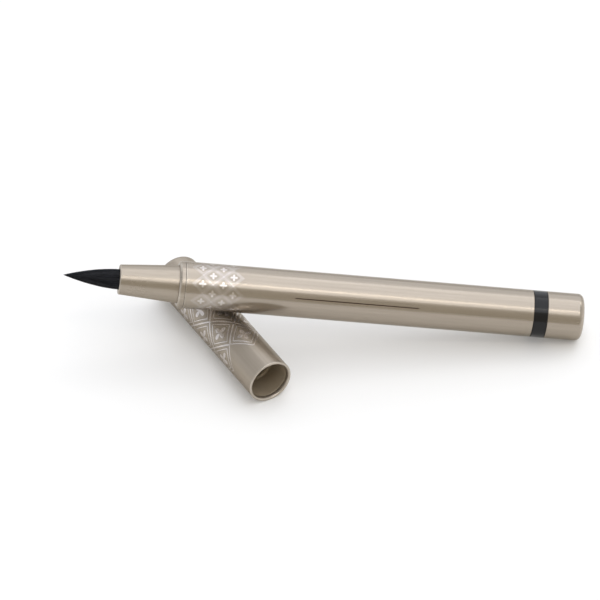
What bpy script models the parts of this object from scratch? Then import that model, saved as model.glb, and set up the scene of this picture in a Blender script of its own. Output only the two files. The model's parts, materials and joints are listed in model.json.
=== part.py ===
"""Brush eyeliner pen with its cap off, propped on the cap as it lies on a table.

The pen's pieces are stacked along one axis: the local Z of the pen_axis empty, which
starts in the middle of the tail's face and points at the brush. The cap's pieces are
stacked along the local Z of the cap_axis empty, from the mouth to the closed end.
All sizes are in metres.
"""

import math

import bmesh
import bpy
from mathutils import Euler

# Clearances
SEAT_GAP = 0.0003
PARTING_GAP = 0.0001
SLIDE_GAP = 0.0001
CUT_OVERRUN = 0.0005
MERGE_DISTANCE = 0.000001

# How the pen and the cap lie
PEN_LENGTH_TO_CROSSING = 0.0809
CAP_MOUTH_TO_CROSSING = 0.0226
CAP_TURN = math.radians(62)

# Barrel
BARREL_RADIUS = 0.00525
BARREL_WALL = 0.00075
BARREL_LENGTH = 0.0785
EDGE_BREAK = 0.00012

# Tail cap and shade ring
TAIL_CAP_LENGTH = 0.0083
TAIL_CAP_FILLET = 0.0012
TAIL_CAP_WALL = 0.0010
TAIL_SPIGOT_LENGTH = 0.0050
SHADE_RING_WIDTH = 0.0031

# Shoulder ring and nozzle
SHOULDER_RING_WIDTH = 0.0013
SHOULDER_RING_STEP = 0.00005
SHOULDER_RING_DROP = 0.0004
SHOULDER_RING_ROUND = 0.0008
NOZZLE_LENGTH = 0.0132
NOZZLE_BASE_STEP = 0.001
NOZZLE_TAPER = 0.0009
NOZZLE_TIP_ROUND = 0.00025
NOZZLE_SKIRT_LENGTH = 0.0051
NOZZLE_WALL = 0.00115
NOZZLE_LIP_DEPTH = 0.0031
SEAL_GROOVE_SETBACK = 0.0023
SEAL_GROOVE_WIDTH = 0.0009
SEAL_GROOVE_DEPTH = 0.00065
SEAL_WIRE_RADIUS = 0.00030

# Brush and what holds it
BRUSH_LENGTH = 0.0126
BRUSH_ROOT_STANDOUT = 0.0008
BRUSH_RINGS = 10
STRAND_SIDES = 3
BRUSH_SWELL = 1.8
BRUSH_STRAND_SHARE = 0.36
BRUSH_TIP_SHARE = 0.3
BRUSH_THINNING = 0.65
BRUSH_CORE_SHARE = 0.5
BRUSH_SKIN_SHARE = 0.9
BRUSH_STATION_SHARES = (0.22, 0.42, 0.65, 0.82)
BRUSH_HIDDEN_STATION_SHARES = (0.65, 0.82)
BRUSH_LAST_STATION_SHARE = 0.08
COLLAR_LENGTH = 0.0040
COLLAR_FLANGE_STEP = 0.0003
COLLAR_WALL = 0.0005
COLLAR_FLANGE = 0.0008
BRUSH_PLUG_LENGTH = 0.0063

# Ink tank, collector and feed
TANK_WALL = 0.0006
TANK_END_WALL = 0.0010
TANK_PLUG_FLANGE = 0.0010
TANK_PLUG_DEPTH = 0.0040
TANK_PLUG_RECESS = 0.0022
GASKET_THICKNESS = 0.0008
COLLECTOR_DISC = 0.0010
COLLECTOR_CORE_RADIUS = 0.0022
COLLECTOR_STEM_GAP = 0.0003
COLLECTOR_PIPE_RADIUS = 0.0016
COLLECTOR_PIPE_REACH = 0.0020
COLLECTOR_SLIT = 0.0003
COLLECTOR_AIR_SLOT = 0.0012
FIN_COUNT = 11
FIN_PITCH = 0.0012
FIN_THICKNESS = 0.0006
FEED_RADIUS = 0.00075
FEED_BORE_RADIUS = 0.0010
FEED_REACH = 0.0005
BALL_RADIUS = 0.0024
BALL_SEGMENTS = 14
BALL_RINGS = 8

# Cap
CAP_LENGTH = 0.0434
CAP_RADIUS = 0.0052
CAP_SHELL_WALL = 0.0003
CAP_END_WALL = 0.0005
CAP_END_FILLET = 0.0013
CAP_LIP_DEPTH = 0.0010
CAP_LIP_ROUND = 0.0003
CAP_LIP_FLARE = 0.0009
LINER_WALL = 0.00035
LINER_END_WALL = 0.0010
LINER_BEAD_START = 0.0072
LINER_BEAD_WIDTH = 0.0010
LINER_BEAD_HEIGHT = 0.0004
INNER_CAP_RUN_GAP = 0.00015
INNER_CAP_WALL = 0.0007
INNER_CAP_DEPTH = 0.0225
INNER_CAP_END_WALL = 0.0010
INNER_CAP_FLANGE = 0.0016
INNER_CAP_WAIST = 0.0002
INNER_CAP_POST_RADIUS = 0.0017
INNER_CAP_TRAVEL = 0.0020
SPRING_WIRE_RADIUS = 0.00025
SPRING_COIL_RADIUS = 0.0030
SPRING_TURNS = 7
SPRING_POINTS_PER_TURN = 9

# Facets round a turned piece
OUTER_STEPS = 48
FRONT_STEPS = 36
INNER_STEPS = 28
SMALL_STEPS = 24
FIN_STEPS = 18
FEED_STEPS = 12
SMOOTH_ANGLE = math.radians(35)

# Places along the pen, from the tail's face
ring_start = TAIL_CAP_LENGTH
barrel_start = ring_start + SHADE_RING_WIDTH
barrel_end = barrel_start + BARREL_LENGTH
nozzle_base = barrel_end + SHOULDER_RING_WIDTH
nozzle_tip = nozzle_base + NOZZLE_LENGTH
brush_tip = nozzle_tip + BRUSH_LENGTH

lip_start = nozzle_tip - NOZZLE_LIP_DEPTH
pocket_start = lip_start - COLLAR_LENGTH
collar_start = pocket_start - SEAT_GAP - COLLAR_FLANGE
brush_plug_start = collar_start - SEAT_GAP - BRUSH_PLUG_LENGTH
skirt_start = barrel_end - NOZZLE_SKIRT_LENGTH

stem_end = brush_plug_start - SEAT_GAP
fins_end = skirt_start - SEAT_GAP - COLLECTOR_DISC
fins_start = fins_end - FIN_COUNT * FIN_PITCH
collector_start = fins_start - COLLECTOR_DISC
gasket_start = collector_start - SEAT_GAP - GASKET_THICKNESS
tank_end = gasket_start - SEAT_GAP
pipe_start = tank_end - TANK_END_WALL - COLLECTOR_PIPE_REACH
feed_start = pipe_start - FEED_REACH
feed_end = pocket_start - SEAT_GAP

spigot_end = barrel_start + TAIL_SPIGOT_LENGTH
tank_plug_start = spigot_end + SEAT_GAP
tank_start = tank_plug_start + TANK_PLUG_FLANGE + SEAT_GAP
tank_plug_end = tank_plug_start + TANK_PLUG_FLANGE + TANK_PLUG_DEPTH

# Radii that follow from one another
barrel_bore = BARREL_RADIUS - BARREL_WALL
shoulder_ring_radius = BARREL_RADIUS - SHOULDER_RING_STEP
nozzle_base_radius = BARREL_RADIUS - NOZZLE_BASE_STEP
nozzle_tip_radius = nozzle_base_radius - NOZZLE_TAPER
nozzle_bore_radius = nozzle_base_radius - NOZZLE_WALL
collector_stem_radius = nozzle_bore_radius - COLLECTOR_STEM_GAP
collar_radius = nozzle_bore_radius - COLLAR_FLANGE_STEP
brush_radius = collar_radius - COLLAR_WALL
spigot_radius = barrel_bore - SLIDE_GAP
tank_radius = barrel_bore - SEAT_GAP
tank_bore = tank_radius - TANK_WALL
fin_radius = barrel_bore - SEAT_GAP
collar_bore = brush_radius + SLIDE_GAP
strand_spacing = brush_radius / (BRUSH_RINGS + BRUSH_STRAND_SHARE)
collar_flange_radius = nozzle_bore_radius - SLIDE_GAP
pipe_hole_radius = COLLECTOR_PIPE_RADIUS + SEAT_GAP

# The same for the cap, with places measured from its mouth
shell_bore = CAP_RADIUS - CAP_SHELL_WALL
cap_bore = shell_bore - SLIDE_GAP - LINER_WALL
lip_flare_width = CAP_RADIUS - CAP_LIP_ROUND - cap_bore
liner_start = CAP_LIP_DEPTH + SEAT_GAP
liner_end = CAP_LENGTH - CAP_END_WALL - SLIDE_GAP
liner_floor = liner_end - LINER_END_WALL
bead_end = LINER_BEAD_START + LINER_BEAD_WIDTH
inner_cap_start = bead_end + SEAT_GAP
inner_cap_floor = inner_cap_start + INNER_CAP_DEPTH
inner_cap_end = inner_cap_floor + INNER_CAP_END_WALL
inner_cap_radius = cap_bore - INNER_CAP_RUN_GAP
post_end = liner_floor - SEAT_GAP - INNER_CAP_TRAVEL
spring_start = inner_cap_end + SEAT_GAP
spring_end = liner_floor - SEAT_GAP


def clear_scene():
    """Remove every object that is already in the file."""
    for old in list(bpy.data.objects):
        bpy.data.objects.remove(old, do_unlink=True)


def new_collection(name):
    collection = bpy.data.collections.new(name)
    bpy.context.scene.collection.children.link(collection)
    return collection


def finish(name, color, roughness, metallic):
    """A material for one piece."""
    material = bpy.data.materials.new(name)
    material.use_nodes = True
    shader = material.node_tree.nodes["Principled BSDF"]
    shader.inputs["Base Color"].default_value = (*color, 1.0)
    shader.inputs["Roughness"].default_value = roughness
    shader.inputs["Metallic"].default_value = metallic
    return material


def arc(centre_r, centre_z, radius, from_degrees, to_degrees, parts):
    """Points (r, z) along a round stretch of an outline."""
    points = []
    for i in range(parts + 1):
        angle = math.radians(from_degrees + (to_degrees - from_degrees) * i / parts)
        points.append((centre_r + radius * math.cos(angle), centre_z + radius * math.sin(angle)))
    return points


def keep_evaluated(piece):
    """Replace a piece's mesh by its evaluated shape, with round faces shaded smooth."""
    depsgraph = bpy.context.evaluated_depsgraph_get()
    mesh = bpy.data.meshes.new_from_object(piece.evaluated_get(depsgraph))
    mesh.name = piece.name
    piece.modifiers.clear()
    piece.data = mesh
    mesh.shade_smooth()
    mesh.set_sharp_from_angle(angle=SMOOTH_ANGLE)
    return piece


def turned_blank(name, outline, steps, collection, closed=True):
    """An outline of (r, z) points, turned about Z. It runs down the outer side first."""
    mesh = bpy.data.meshes.new(name)
    edges = [(i, i + 1) for i in range(len(outline) - 1)]
    if closed:
        edges.append((len(outline) - 1, 0))
    mesh.from_pydata([(r, 0, z) for r, z in outline], edges, [])
    blank = bpy.data.objects.new(name, mesh)
    collection.objects.link(blank)
    screw = blank.modifiers.new("turn", "SCREW")
    screw.axis = "Z"
    screw.angle = math.tau
    screw.steps = steps
    screw.render_steps = steps
    screw.use_merge_vertices = True
    screw.merge_threshold = MERGE_DISTANCE
    return blank


def seat(piece, material, parent, place):
    """Give a piece its finish and its place along its parent's axis."""
    piece.data.materials.clear()
    piece.data.materials.append(material)
    piece.parent = parent
    piece.location = (0, 0, place)
    return piece


def turned(name, outline, steps, material, parent, place, closed=True):
    blank = turned_blank(name, outline, steps, parts, closed)
    return seat(keep_evaluated(blank), material, parent, place)


def box_cutter(name, size, location):
    """A block that cuts a slot, kept out of the finished part."""
    mesh = bpy.data.meshes.new(name)
    shape = bmesh.new()
    bmesh.ops.create_cube(shape, size=1.0)
    bmesh.ops.scale(shape, vec=size, verts=shape.verts)
    shape.to_mesh(mesh)
    shape.free()
    cutter = bpy.data.objects.new(name, mesh)
    cutters.objects.link(cutter)
    cutter.location = location
    cutter.hide_render = True
    cutter.display_type = "WIRE"
    return cutter


def add_boolean(piece, other, operation):
    modifier = piece.modifiers.new(other.name, "BOOLEAN")
    modifier.object = other
    modifier.operation = operation
    modifier.solver = "EXACT"
    return modifier


def empty_axis(name, location, rotation, parent=None):
    axis = bpy.data.objects.new(name, None)
    parts.objects.link(axis)
    axis.location = location
    axis.rotation_euler = rotation
    axis.parent = parent
    return axis


def tail_height(tilt):
    """Height of the tail face's middle when its rounded edge touches the table."""
    inner = BARREL_RADIUS - TAIL_CAP_FILLET
    return TAIL_CAP_FILLET * (1 - math.sin(tilt)) + inner * math.cos(tilt)


def pen_tilt():
    """Tilt at which the barrel rests on the cap that lies across under it."""
    resting_distance = BARREL_RADIUS + CAP_RADIUS + SEAT_GAP
    low, high = 0.0, math.radians(45)
    for _ in range(60):
        tilt = (low + high) / 2
        rise = tail_height(tilt) + PEN_LENGTH_TO_CROSSING * math.tan(tilt) - CAP_RADIUS
        across = math.hypot(math.sin(tilt), math.cos(tilt) * math.sin(CAP_TURN))
        distance = rise * math.cos(tilt) * math.sin(CAP_TURN) / across
        if distance < resting_distance:
            low = tilt
        else:
            high = tilt
    return tilt


def rounded_reach(length, radius, edge, turn):
    """How far a round end with a rounded edge reaches, turned away from its axis."""
    return (length - edge) * math.cos(turn) + (radius - edge) * math.sin(turn) + edge


def place_axes():
    """The pen's and the cap's axes, with the origin under the middle of the whole."""
    tilt = pen_tilt()
    off_y = math.pi / 2 - CAP_TURN
    closed_end = CAP_LENGTH - CAP_MOUTH_TO_CROSSING
    east = rounded_reach(0, BARREL_RADIUS, TAIL_CAP_FILLET, tilt)
    west = -brush_tip * math.cos(tilt)
    south = -rounded_reach(CAP_MOUTH_TO_CROSSING, CAP_RADIUS, CAP_LIP_ROUND, off_y)
    north = rounded_reach(closed_end, CAP_RADIUS, CAP_END_FILLET, off_y)
    shift_x = -(east + west) / 2
    shift_y = -(south + north) / 2
    pen = empty_axis(
        "pen_axis",
        (shift_x, shift_y, tail_height(tilt)),
        Euler((0, tilt - math.pi / 2, 0)),
    )
    mouth_x = shift_x - PEN_LENGTH_TO_CROSSING + CAP_MOUTH_TO_CROSSING * math.cos(CAP_TURN)
    mouth_y = shift_y - CAP_MOUTH_TO_CROSSING * math.sin(CAP_TURN)
    cap = empty_axis(
        "cap_axis",
        (mouth_x, mouth_y, CAP_RADIUS),
        Euler((0, math.pi / 2, math.pi - CAP_TURN)),
    )
    return pen, cap


def make_barrel():
    start = barrel_start + PARTING_GAP
    length = barrel_end - PARTING_GAP - start
    outline = [
        (barrel_bore, length),
        (BARREL_RADIUS - EDGE_BREAK, length),
        (BARREL_RADIUS, length - EDGE_BREAK),
        (BARREL_RADIUS, EDGE_BREAK),
        (BARREL_RADIUS - EDGE_BREAK, 0),
        (barrel_bore, 0),
    ]
    material = finish("champagne_barrel", (0.60, 0.55, 0.47), 0.32, 0.9)
    return turned("barrel", outline, OUTER_STEPS, material, pen_axis, start)


def make_shade_ring():
    start = ring_start + PARTING_GAP
    length = SHADE_RING_WIDTH - PARTING_GAP
    outline = [
        (barrel_bore, length),
        (BARREL_RADIUS, length),
        (BARREL_RADIUS, 0),
        (barrel_bore, 0),
    ]
    material = finish("black_ring", (0.012, 0.012, 0.012), 0.3, 0.0)
    return turned("shade_ring", outline, OUTER_STEPS, material, pen_axis, start)


def make_tail_cap():
    bore = spigot_radius - TAIL_CAP_WALL
    fillet_r = BARREL_RADIUS - TAIL_CAP_FILLET
    outline = [
        (bore, spigot_end),
        (spigot_radius - EDGE_BREAK, spigot_end),
        (spigot_radius, spigot_end - EDGE_BREAK),
        (spigot_radius, ring_start),
        (BARREL_RADIUS, ring_start),
        *arc(fillet_r, TAIL_CAP_FILLET, TAIL_CAP_FILLET, 0, -90, 4),
        (0, 0),
        (0, TAIL_CAP_WALL),
        (bore, TAIL_CAP_WALL),
    ]
    material = finish("champagne_tail", (0.60, 0.55, 0.47), 0.32, 0.9)
    return turned("tail_cap", outline, OUTER_STEPS, material, pen_axis, 0)


def make_shoulder_ring():
    start = barrel_end
    bore = nozzle_base_radius + SLIDE_GAP
    width = SHOULDER_RING_WIDTH
    front_radius = shoulder_ring_radius - SHOULDER_RING_DROP
    rounded = []
    for r, z in arc(0, 0, 1.0, 90, 0, 3):
        rounded.append((
            front_radius + SHOULDER_RING_DROP * r,
            width - SHOULDER_RING_ROUND + SHOULDER_RING_ROUND * z,
        ))
    outline = [(bore, width), *rounded, (shoulder_ring_radius, 0), (bore, 0)]
    material = finish("champagne_collar", (0.62, 0.58, 0.50), 0.28, 0.9)
    return turned("shoulder_ring", outline, FRONT_STEPS, material, pen_axis, start)


def make_nozzle():
    length = nozzle_tip - skirt_start
    base = nozzle_base - skirt_start
    shelf = barrel_end - skirt_start - SLIDE_GAP
    pocket = pocket_start - skirt_start
    lip = lip_start - skirt_start
    mouth = brush_radius + SLIDE_GAP
    groove_start = SEAL_GROOVE_SETBACK
    groove_end = groove_start + SEAL_GROOVE_WIDTH
    groove_radius = spigot_radius - SEAL_GROOVE_DEPTH
    outline = [
        (mouth, length),
        *arc(nozzle_tip_radius - NOZZLE_TIP_ROUND, length - NOZZLE_TIP_ROUND,
             NOZZLE_TIP_ROUND, 90, 0, 2),
        (nozzle_base_radius, base),
        (nozzle_base_radius, shelf),
        (spigot_radius, shelf),
        (spigot_radius, groove_end),
        (groove_radius, groove_end),
        (groove_radius, groove_start),
        (spigot_radius, groove_start),
        (spigot_radius, EDGE_BREAK),
        (spigot_radius - EDGE_BREAK, 0),
        (nozzle_bore_radius, 0),
        (nozzle_bore_radius, pocket),
        (collar_radius + SLIDE_GAP, pocket),
        (collar_radius + SLIDE_GAP, lip),
        (mouth, lip),
    ]
    material = finish("champagne_nozzle", (0.62, 0.57, 0.48), 0.3, 0.9)
    return turned("nozzle", outline, FRONT_STEPS, material, pen_axis, skirt_start)


def make_nozzle_seal():
    """The O-ring in the groove of the nozzle's skirt."""
    groove_middle = skirt_start + SEAL_GROOVE_SETBACK + SEAL_GROOVE_WIDTH / 2
    ring_radius = spigot_radius - SEAL_WIRE_RADIUS + SLIDE_GAP / 2
    outline = arc(ring_radius, 0, SEAL_WIRE_RADIUS, 90, -210, 5)
    material = finish("seal_rubber", (0.02, 0.02, 0.02), 0.7, 0.0)
    return turned("nozzle_seal", outline, SMALL_STEPS, material, pen_axis, groove_middle)


def make_brush_plug():
    outline = [
        (FEED_BORE_RADIUS, BRUSH_PLUG_LENGTH),
        (collar_flange_radius, BRUSH_PLUG_LENGTH),
        (collar_flange_radius, EDGE_BREAK),
        (collar_flange_radius - EDGE_BREAK, 0),
        (FEED_BORE_RADIUS, 0),
    ]
    material = finish("plug_white", (0.75, 0.75, 0.72), 0.45, 0.0)
    return turned("brush_plug", outline, SMALL_STEPS, material, pen_axis, brush_plug_start)


def make_brush_collar():
    step = COLLAR_FLANGE + SEAT_GAP
    length = step + COLLAR_LENGTH - SEAT_GAP
    outline = [
        (collar_bore, length),
        (collar_radius, length),
        (collar_radius, COLLAR_FLANGE),
        (collar_flange_radius, COLLAR_FLANGE),
        (collar_flange_radius, 0),
        (collar_bore, 0),
    ]
    material = finish("collar_grey", (0.35, 0.35, 0.36), 0.45, 0.0)
    return turned("brush_collar", outline, SMALL_STEPS, material, pen_axis, collar_start)


def swell(share):
    """Radius of the brush at a share of its exposed length, as a share of its radius."""
    return 1 - share ** BRUSH_SWELL


def ring_end_share(ring):
    """Where the strands of a ring end: the outer rings run out first."""
    filled = (ring + BRUSH_CORE_SHARE) / (BRUSH_RINGS + BRUSH_SKIN_SHARE)
    return (1 - filled ** (1 / BRUSH_THINNING)) ** (1 / BRUSH_SWELL)


def strand_points(ring, angle, root):
    """Points (x, y, z, thickness share) of one strand, from the root to its tip."""
    end = ring_end_share(ring) if ring else 1 - 1 / (BRUSH_RINGS * BRUSH_RINGS)
    hidden = ring <= BRUSH_RINGS / 2
    stations = BRUSH_HIDDEN_STATION_SHARES if hidden else BRUSH_STATION_SHARES
    shares = [s for s in stations if s < end - BRUSH_LAST_STATION_SHARE] + [end]
    points = [(ring * strand_spacing, root, 1.0)]
    for share in shares:
        thinning = swell(share) ** (1 - BRUSH_THINNING)
        radius = ring * strand_spacing * thinning
        points.append((radius, share * BRUSH_LENGTH, thinning))
    radius, height, thickness = points.pop()
    points.append((radius, height, thickness * BRUSH_TIP_SHARE))
    return [(r * math.cos(angle), r * math.sin(angle), z, t) for r, z, t in points]


def strand_section(radius):
    """The three-sided section that every strand is swept with."""
    curve = bpy.data.curves.new("strand_section", "CURVE")
    curve.dimensions = "2D"
    spline = curve.splines.new("POLY")
    spline.points.add(STRAND_SIDES - 1)
    for i, point in enumerate(spline.points):
        angle = math.tau * i / STRAND_SIDES
        point.co = (radius * math.cos(angle), radius * math.sin(angle), 0, 1)
    spline.use_cyclic_u = True
    section = bpy.data.objects.new("strand_section", curve)
    cutters.objects.link(section)
    section.hide_render = True
    section.display_type = "WIRE"
    return section


def strand_curve(root):
    """All the strands as one curve, ring by ring, from the root's height upwards."""
    curve = bpy.data.curves.new("strands", "CURVE")
    curve.dimensions = "3D"
    for ring in range(BRUSH_RINGS + 1):
        count = max(1, 6 * ring)
        for i in range(count):
            angle = math.tau * (i + 0.5 * (ring % 2)) / count
            points = strand_points(ring, angle, root)
            spline = curve.splines.new("POLY")
            spline.points.add(len(points) - 1)
            for point, (x, y, z, thickness) in zip(spline.points, points):
                point.co = (x, y, z, 1)
                point.radius = thickness
    curve.bevel_mode = "OBJECT"
    curve.bevel_object = strand_section(strand_spacing * BRUSH_STRAND_SHARE)
    curve.use_fill_caps = True
    return curve


def strand_mesh(root):
    """The strands as closed solids, their caps welded on."""
    guide = bpy.data.objects.new("strands_curve", strand_curve(root))
    cutters.objects.link(guide)
    depsgraph = bpy.context.evaluated_depsgraph_get()
    mesh = bpy.data.meshes.new_from_object(guide.evaluated_get(depsgraph))
    bpy.data.objects.remove(guide)
    shape = bmesh.new()
    shape.from_mesh(mesh)
    bmesh.ops.remove_doubles(shape, verts=shape.verts, dist=MERGE_DISTANCE)
    bmesh.ops.recalc_face_normals(shape, faces=shape.faces)
    shape.to_mesh(mesh)
    shape.free()
    return mesh


def make_brush_tuft():
    """Rings of strands that draw together to a point, standing on their fused root."""
    root_length = lip_start + BRUSH_ROOT_STANDOUT - pocket_start
    root_radius = brush_radius - SLIDE_GAP / 2
    strand_root = pocket_start + root_length - BRUSH_ROOT_STANDOUT / 2 - nozzle_tip
    strands = bpy.data.objects.new("strands", strand_mesh(strand_root))
    cutters.objects.link(strands)
    strands.hide_render = True
    strands.display_type = "WIRE"
    strands.location = (0, 0, nozzle_tip - pocket_start)
    outline = [(0, root_length), (root_radius, root_length), (root_radius, 0), (0, 0)]
    blank = turned_blank("brush_tuft", outline, SMALL_STEPS, parts, closed=False)
    add_boolean(blank, strands, "UNION")
    bpy.context.view_layer.update()
    material = finish("brush_black", (0.012, 0.012, 0.014), 0.5, 0.0)
    tuft = seat(keep_evaluated(blank), material, pen_axis, pocket_start)
    strands.parent = tuft
    return tuft


def make_ink_tank():
    length = tank_end - tank_start
    outline = [
        (pipe_hole_radius, length),
        (tank_radius, length),
        (tank_radius, 0),
        (tank_bore, 0),
        (tank_bore, length - TANK_END_WALL),
        (pipe_hole_radius, length - TANK_END_WALL),
    ]
    material = finish("tank_plastic", (0.72, 0.72, 0.70), 0.4, 0.0)
    return turned("ink_tank", outline, INNER_STEPS, material, pen_axis, tank_start)


def make_tank_plug():
    body_radius = tank_bore - SLIDE_GAP
    recess_radius = body_radius - TANK_WALL
    end = tank_plug_end - tank_plug_start
    outline = [
        (0, end),
        (body_radius - EDGE_BREAK, end),
        (body_radius, end - EDGE_BREAK),
        (body_radius, TANK_PLUG_FLANGE),
        (tank_radius, TANK_PLUG_FLANGE),
        (tank_radius, 0),
        (recess_radius, 0),
        (recess_radius, TANK_PLUG_RECESS),
        (0, TANK_PLUG_RECESS),
    ]
    material = finish("tank_plug_plastic", (0.55, 0.56, 0.58), 0.5, 0.0)
    return turned("tank_plug", outline, INNER_STEPS, material, pen_axis, tank_plug_start, closed=False)


def make_tank_gasket():
    outline = [
        (pipe_hole_radius, GASKET_THICKNESS),
        (tank_radius, GASKET_THICKNESS),
        (tank_radius, 0),
        (pipe_hole_radius, 0),
    ]
    material = finish("gasket_rubber", (0.05, 0.05, 0.05), 0.8, 0.0)
    return turned("tank_gasket", outline, SMALL_STEPS, material, pen_axis, gasket_start)


def make_collector():
    """Comb of thin fins on a hollow core, with an ink slit and a wider air slot."""
    stem = stem_end - pipe_start
    top_disc = fins_end + COLLECTOR_DISC - pipe_start
    comb_end = fins_end - pipe_start
    comb_start = fins_start - pipe_start
    base_disc = collector_start - pipe_start
    outline = [
        (FEED_BORE_RADIUS, stem),
        (collector_stem_radius, stem),
        (collector_stem_radius, top_disc),
        (fin_radius, top_disc),
        (fin_radius, comb_end),
        (COLLECTOR_CORE_RADIUS, comb_end),
    ]
    for i in range(FIN_COUNT - 1, 0, -1):
        middle = comb_start + i * FIN_PITCH
        outline += [
            (COLLECTOR_CORE_RADIUS, middle + FIN_THICKNESS / 2),
            (fin_radius, middle + FIN_THICKNESS / 2),
            (fin_radius, middle - FIN_THICKNESS / 2),
            (COLLECTOR_CORE_RADIUS, middle - FIN_THICKNESS / 2),
        ]
    outline += [
        (COLLECTOR_CORE_RADIUS, comb_start),
        (fin_radius, comb_start),
        (fin_radius, base_disc),
        (COLLECTOR_PIPE_RADIUS, base_disc),
        (COLLECTOR_PIPE_RADIUS, 0),
        (FEED_BORE_RADIUS, 0),
    ]
    blank = turned_blank("collector", outline, FIN_STEPS, parts)
    slot_length = FIN_COUNT * FIN_PITCH + 2 * COLLECTOR_DISC + 2 * CUT_OVERRUN
    slot_depth = fin_radius - COLLECTOR_CORE_RADIUS + CUT_OVERRUN
    slot_x = COLLECTOR_CORE_RADIUS + slot_depth / 2
    middle = (comb_start + comb_end) / 2
    slit_size = (slot_depth, COLLECTOR_SLIT, slot_length)
    slit = box_cutter("collector_slit", slit_size, (slot_x, 0, middle))
    air_size = (slot_depth, COLLECTOR_AIR_SLOT, slot_length)
    air_slot = box_cutter("collector_air_slot", air_size, (-slot_x, 0, middle))
    add_boolean(blank, slit, "DIFFERENCE")
    add_boolean(blank, air_slot, "DIFFERENCE")
    bpy.context.view_layer.update()
    material = finish("collector_plastic", (0.30, 0.31, 0.33), 0.5, 0.0)
    collector = seat(keep_evaluated(blank), material, pen_axis, pipe_start)
    for cutter in (slit, air_slot):
        cutter.parent = collector
    return collector


def make_feed_core():
    length = feed_end - feed_start
    outline = [(0, length), (FEED_RADIUS, length), (FEED_RADIUS, 0), (0, 0)]
    material = finish("feed_fibre", (0.10, 0.10, 0.11), 0.9, 0.0)
    return turned("feed_core", outline, FEED_STEPS, material, pen_axis, feed_start, closed=False)


def make_mixing_balls():
    """Two balls at the tail's end of the tank, lying on its lower wall."""
    low = tank_bore - BALL_RADIUS - SLIDE_GAP
    spacing = 2 * BALL_RADIUS + SEAT_GAP
    first = tank_plug_end + SEAT_GAP + BALL_RADIUS
    balls = []
    for i in range(2):
        name = f"mixing_ball_{i + 1}"
        mesh = bpy.data.meshes.new(name)
        shape = bmesh.new()
        bmesh.ops.create_uvsphere(
            shape, u_segments=BALL_SEGMENTS, v_segments=BALL_RINGS, radius=BALL_RADIUS)
        shape.to_mesh(mesh)
        shape.free()
        mesh.shade_smooth()
        ball = bpy.data.objects.new(name, mesh)
        parts.objects.link(ball)
        material = finish(f"steel_ball_{i + 1}", (0.62, 0.62, 0.63), 0.15, 1.0)
        seat(ball, material, pen_axis, first + i * spacing)
        ball.location.x = -low
        balls.append(ball)
    return balls


def make_cap_shell():
    """Thin drawn shell, closed at the far end, with a rolled rim that flares round the mouth."""
    flare = []
    for r, z in arc(0, 0, 1.0, -90, -180, 3):
        flare.append((
            cap_bore + lip_flare_width * (1 + r),
            CAP_LIP_FLARE * (1 + z),
        ))
    fillet_r = CAP_RADIUS - CAP_END_FILLET
    fillet_z = CAP_LENGTH - CAP_END_FILLET
    inner_fillet = CAP_END_FILLET - CAP_SHELL_WALL
    inner_z = CAP_LENGTH - CAP_END_WALL - inner_fillet
    outline = [
        (0, CAP_LENGTH),
        *arc(fillet_r, fillet_z, CAP_END_FILLET, 90, 0, 3),
        *arc(CAP_RADIUS - CAP_LIP_ROUND, CAP_LIP_ROUND, CAP_LIP_ROUND, 0, -90, 2),
        *flare,
        (cap_bore, CAP_LIP_DEPTH),
        (shell_bore, CAP_LIP_DEPTH),
        *arc(shell_bore - inner_fillet, inner_z, inner_fillet, 0, 90, 2),
        (0, CAP_LENGTH - CAP_END_WALL),
    ]
    material = finish("champagne_cap", (0.55, 0.51, 0.45), 0.34, 0.9)
    return turned("cap_shell", outline, OUTER_STEPS, material, cap_axis, 0, closed=False)


def make_cap_liner():
    """Liner with a bead inside that keeps the sprung inner cap in."""
    outer = shell_bore - SLIDE_GAP
    fillet = CAP_END_FILLET - CAP_SHELL_WALL - SLIDE_GAP
    start = liner_start
    end = liner_end - start
    floor = liner_floor - start
    bead_low = LINER_BEAD_START - start
    bead_high = bead_end - start
    bead_slope = LINER_BEAD_HEIGHT
    outline = [
        (0, end),
        *arc(outer - fillet, end - fillet, fillet, 90, 0, 2),
        (outer, 0),
        (cap_bore, 0),
        (cap_bore, bead_low - bead_slope),
        (cap_bore - LINER_BEAD_HEIGHT, bead_low),
        (cap_bore - LINER_BEAD_HEIGHT, bead_high),
        (cap_bore, bead_high),
        (cap_bore, floor),
        (0, floor),
    ]
    material = finish("liner_plastic", (0.07, 0.06, 0.045), 0.45, 0.0)
    return turned("cap_liner", outline, FRONT_STEPS, material, cap_axis, start, closed=False)


def make_inner_cap():
    """Cup that seals on the nozzle, with a post that guides the spring behind it."""
    end = inner_cap_end - inner_cap_start
    post = post_end - inner_cap_start
    waist = inner_cap_radius - INNER_CAP_WAIST
    bore = inner_cap_radius - INNER_CAP_WALL
    outline = [
        (0, post),
        (INNER_CAP_POST_RADIUS - EDGE_BREAK, post),
        (INNER_CAP_POST_RADIUS, post - EDGE_BREAK),
        (INNER_CAP_POST_RADIUS, end),
        (waist, end),
        (waist, INNER_CAP_FLANGE),
        (inner_cap_radius, INNER_CAP_FLANGE),
        (inner_cap_radius, 0),
        (bore, 0),
        (bore, INNER_CAP_DEPTH),
        (0, INNER_CAP_DEPTH),
    ]
    material = finish("inner_cap_plastic", (0.12, 0.11, 0.10), 0.4, 0.0)
    return turned("inner_cap", outline, INNER_STEPS, material, cap_axis, inner_cap_start, closed=False)


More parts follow.
